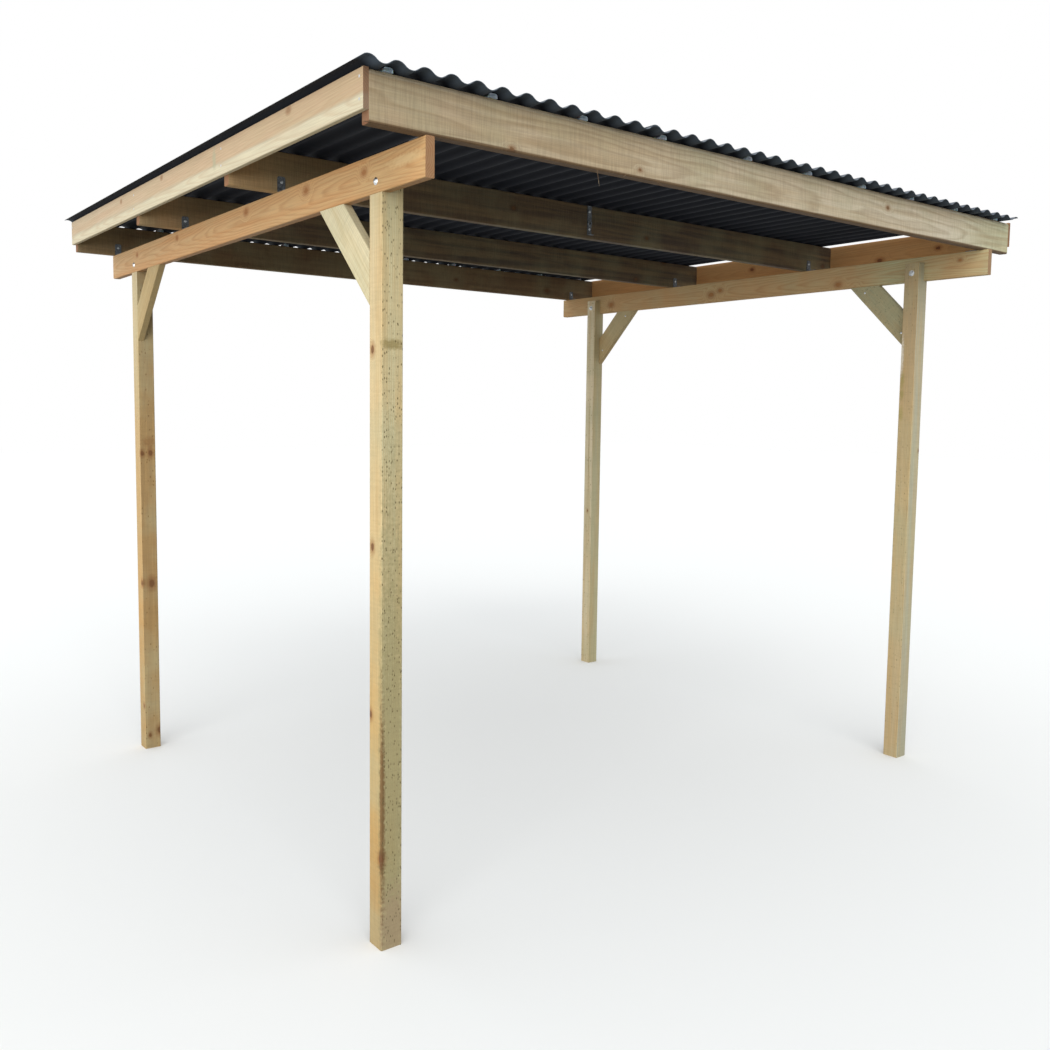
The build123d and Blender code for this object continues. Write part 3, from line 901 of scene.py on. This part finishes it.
def bracketScrews(side, setup):
    places = []
    low, high = boxMm("brackets_" + side)
    x, beamTop = (low.x + high.x) / 2, low.z
    reach, gauge = setup["bracketReach"], setup["gauge"]
    for node in crossNames:
        low, high = boxMm(node)
        out = 1 if node == "front_beam" else -1  # the front beam carries its brackets behind it
        face = high.y if out > 0 else low.y
        places.append(headAt(x, face + out * gauge, beamTop + reach, (0, out, 0)))
        places.append(headAt(x, face + out * reach, beamTop + gauge, upWay))
    copyTo(screwHead(setup), places, "bracket_screws_" + side, zinc)


def braceScrews(setup):
    places = []
    near, far = setup["braceNear"], setup["braceFar"]
    for name in braceLooks:
        low, high = boxMm(name)
        lean = 1 if "front" in name else -1  # the way the brace leans from its post
        sign = sideSign["left" if "left" in name else "right"]
        postFace = low.y if lean > 0 else high.y
        innerFace = high.x if sign < 0 else low.x
        for fromPost, underBeam in ((far, near), (near, far)):
            places.append(headAt(innerFace + sign * setup["braceSink"], postFace + lean * fromPost,
                                 high.z - underBeam, (-sign, 0, 0)))
    copyTo(screwHead(setup), places, "brace_screws", zinc)


def strapScrews(setup):
    low, high = boxMm("tie_strap")
    face = boxMm("purlin_front")[0].y - setup["strapSeat"]
    heights = (low.z + setup["strapReach"], high.z - setup["strapReach"])
    places = [headAt((low.x + high.x) / 2, face, z, frontWay) for z in heights]
    copyTo(screwHead(setup), places, "strap_screws", zinc)


for side in sideSign:
    bracketScrews(side, screwSetup)
braceScrews(screwSetup)
strapScrews(screwSetup)
print("screws made")


# Nail heads that hold the fascias to the ends of the cross timbers
nailSetup = {
    "radius": 3.6,
    "height": 1.0,
    "sides": 14,
    "rim": 0.9,
    "edgeRound": 0.3,
    "edgeSteps": 2,
    "dishRim": 1.08,
    "dishDepth": 0.25,
    "heights": (23.0, 73.0),    # above the fascia's lower edge
    "scatter": 4.0,             # each is this far out of place at most
}


def fasciaNails(side, setup):
    piece = startPiece(bpy.ops.mesh.primitive_cylinder_add, vertices=setup["sides"],
                       radius=setup["radius"] * mm, depth=setup["height"] * mm)
    pickFacing(piece, upWay)
    bpy.ops.mesh.inset(thickness=setup["rim"] * mm)
    bpy.ops.mesh.bevel(offset=setup["edgeRound"] * mm, segments=setup["edgeSteps"])
    bpy.ops.mesh.inset(thickness=setup["dishRim"] * mm, depth=-setup["dishDepth"] * mm)
    low, high = boxMm("fascia_" + side)
    x = low.x if side == "left" else high.x
    scatter = setup["scatter"]
    places = []
    for node in crossNames:
        timberLow, timberHigh = boxMm(node)
        middle = (timberLow.y + timberHigh.y) / 2
        for height in setup["heights"]:
            y = middle + random.uniform(-scatter, scatter)
            z = low.z + height + random.uniform(-scatter, scatter)
            places.append(headAt(x, y, z, (sideSign[side], 0, 0)))
    copyTo(piece, places, "fascia_nails_" + side, zinc)


for side in sideSign:
    fasciaNails(side, nailSetup)
print("nails made")


# Milky spacers in the crests over the two end timbers, and the capped screws over every cross timber
roofSetup = {
    "firstCrest": -1507.0,
    "pitch": 76.0,
    "crests": (1, 5, 9, 13, 18, 22, 26, 30, 34, 38),  # the ones that are screwed down
    "lift": 2.0,                # the middle sheet lies over its neighbours
    "spacedOver": ("front_beam", "back_beam"),
    "spacerWide": 26.0,
    "spacerHigh": 11.4,
    "spacerRound": 6.5,
    "spacerSteps": 4,
    "spacerShort": 1.0,         # shorter than the timber is thick
    "hollowRim": 2.0,
    "hollowDepth": 1.5,
    "capRadius": 8.0,
    "capHeight": 3.2,
    "capSides": 12,
    "capSink": 0.3,
    "boltRadius": 4.6,
    "boltHeight": 4.5,
    "boltRound": 0.92,
    "boltDome": 0.6,
}


def crestPlaces(setup, nodes, z, lift=0.0):
    places = []
    middleLow, middleHigh = boxMm("roof_sheet_middle")
    for node in nodes:
        low, high = boxMm(node)
        for crest in setup["crests"]:
            x = setup["firstCrest"] + setup["pitch"] * crest
            raised = lift if middleLow.x < x < middleHigh.x else 0.0
            places.append(Matrix.Translation(Vector((x, (low.y + high.y) / 2, z + raised)) * mm))
    return places


def roofSpacers(setup):
    low, high = boxMm("front_beam")
    wide, tall = setup["spacerWide"] * mm, setup["spacerHigh"] * mm
    deep = (high.y - low.y - setup["spacerShort"]) * mm
    piece = startPiece(bpy.ops.mesh.primitive_cube_add, size=1)
    bpy.ops.mesh.select_all(action="SELECT")
    bpy.ops.transform.resize(value=(wide, deep, tall))
    bpy.ops.transform.translate(value=(0, 0, tall / 2))
    bpy.ops.mesh.select_mode(type="EDGE")
    bpy.ops.mesh.select_all(action="DESELECT")
    mesh = bmesh.from_edit_mesh(piece.data)
    for edge in mesh.edges:
        start, end = (vert.co for vert in edge.verts)
        edge.select_set(abs(start.y - end.y) > deep / 2 and start.z > tall / 2)  # the two long upper edges
    bmesh.update_edit_mesh(piece.data)
    bpy.ops.mesh.bevel(offset=setup["spacerRound"] * mm, segments=setup["spacerSteps"])
    pickFacing(piece, frontWay, backWay)
    bpy.ops.mesh.inset(thickness=setup["hollowRim"] * mm, depth=-setup["hollowDepth"] * mm)
    places = crestPlaces(setup, setup["spacedOver"], high.z)
    copyTo(piece, places, "roof_spacers", milkyPlastic)


def roofScrews(setup):
    piece = startPiece(bpy.ops.mesh.primitive_cylinder_add, vertices=setup["capSides"],
                       radius=setup["capRadius"] * mm, depth=setup["capHeight"] * mm)
    pickFacing(piece, upWay)
    bpy.ops.mesh.inset(thickness=(setup["capRadius"] - setup["boltRadius"]) * mm)
    bpy.ops.mesh.extrude_region_move(TRANSFORM_OT_translate={"value": (0, 0, setup["boltHeight"] * mm)})
    bpy.ops.mesh.inset(thickness=setup["boltRound"] * mm, depth=setup["boltDome"] * mm)
    crestTop = boxMm("roof_sheet_left")[1].z
    places = crestPlaces(setup, crossNames, crestTop - setup["capSink"], setup["lift"])
    copyTo(piece, places, "roof_screws", roofing)


roofSpacers(roofSetup)
roofScrews(roofSetup)
print("roof fastenings made")


# Slivers of torn wood that stand out at two saw cuts and along the front beam's lower edge
splinterSetup = {
    "splinter_side_beam_left": {"beam": "side_beam_left", "slot": "beam_timber", "root": (-1319, -1246, 2139),
                                "aim": (-0.5, 0.35, 0.75), "length": 17.0, "width": 3.2},
    "splinter_front_beam": {"beam": "front_beam", "slot": "cross_timber", "root": (-1480, -1270, 2143),
                            "aim": (-1.0, -0.15, -0.12), "length": 22.0, "width": 3.4},
    "splinter_lower_edge": {"beam": "front_beam", "slot": "cross_timber", "root": (-665, -1271, 2141),
                            "aim": (-0.9, -0.25, -0.5), "length": 16.0, "width": 3.0},
    "splinter_lower_edge_right": {"beam": "front_beam", "slot": "cross_timber", "root": (-540, -1271, 2141),
                                  "aim": (0.9, -0.25, -0.5), "length": 20.0, "width": 3.0},
    "hanging_fibre": {"beam": "front_beam", "slot": "cross_timber", "root": (-772, -1271, 2141),
                      "aim": (0.12, -0.1, -1.0), "length": 44.0, "width": 2.6},
}
splinterShape = {
    "steps": ((0.4, 0.75), (0.35, 0.55), (0.25, 0.2)),  # share of the length, and how much it narrows
    "bend": 0.5,                # sideways at each step, as a share of the width
    "flat": 0.5,
}


def makeSplinter(name, setup):
    length, width = setup["length"] * mm, setup["width"] * mm
    piece = startPiece(bpy.ops.mesh.primitive_cube_add, size=width)
    for step, narrow in splinterShape["steps"]:
        pickFacing(piece, upWay)
        move = (step * width * splinterShape["bend"], 0, step * length)
        bpy.ops.mesh.extrude_region_move(TRANSFORM_OT_translate={"value": move})
        bpy.ops.transform.resize(value=(narrow, narrow, 1))
    bpy.ops.mesh.select_all(action="SELECT")
    bpy.ops.transform.resize(value=(1, splinterShape["flat"], 1))
    copyTo(piece, [headAt(*setup["root"], setup["aim"])], name, timber[setup["beam"]])


for name, setup in splinterSetup.items():
    makeSplinter(name, setup)
print("splinters made")
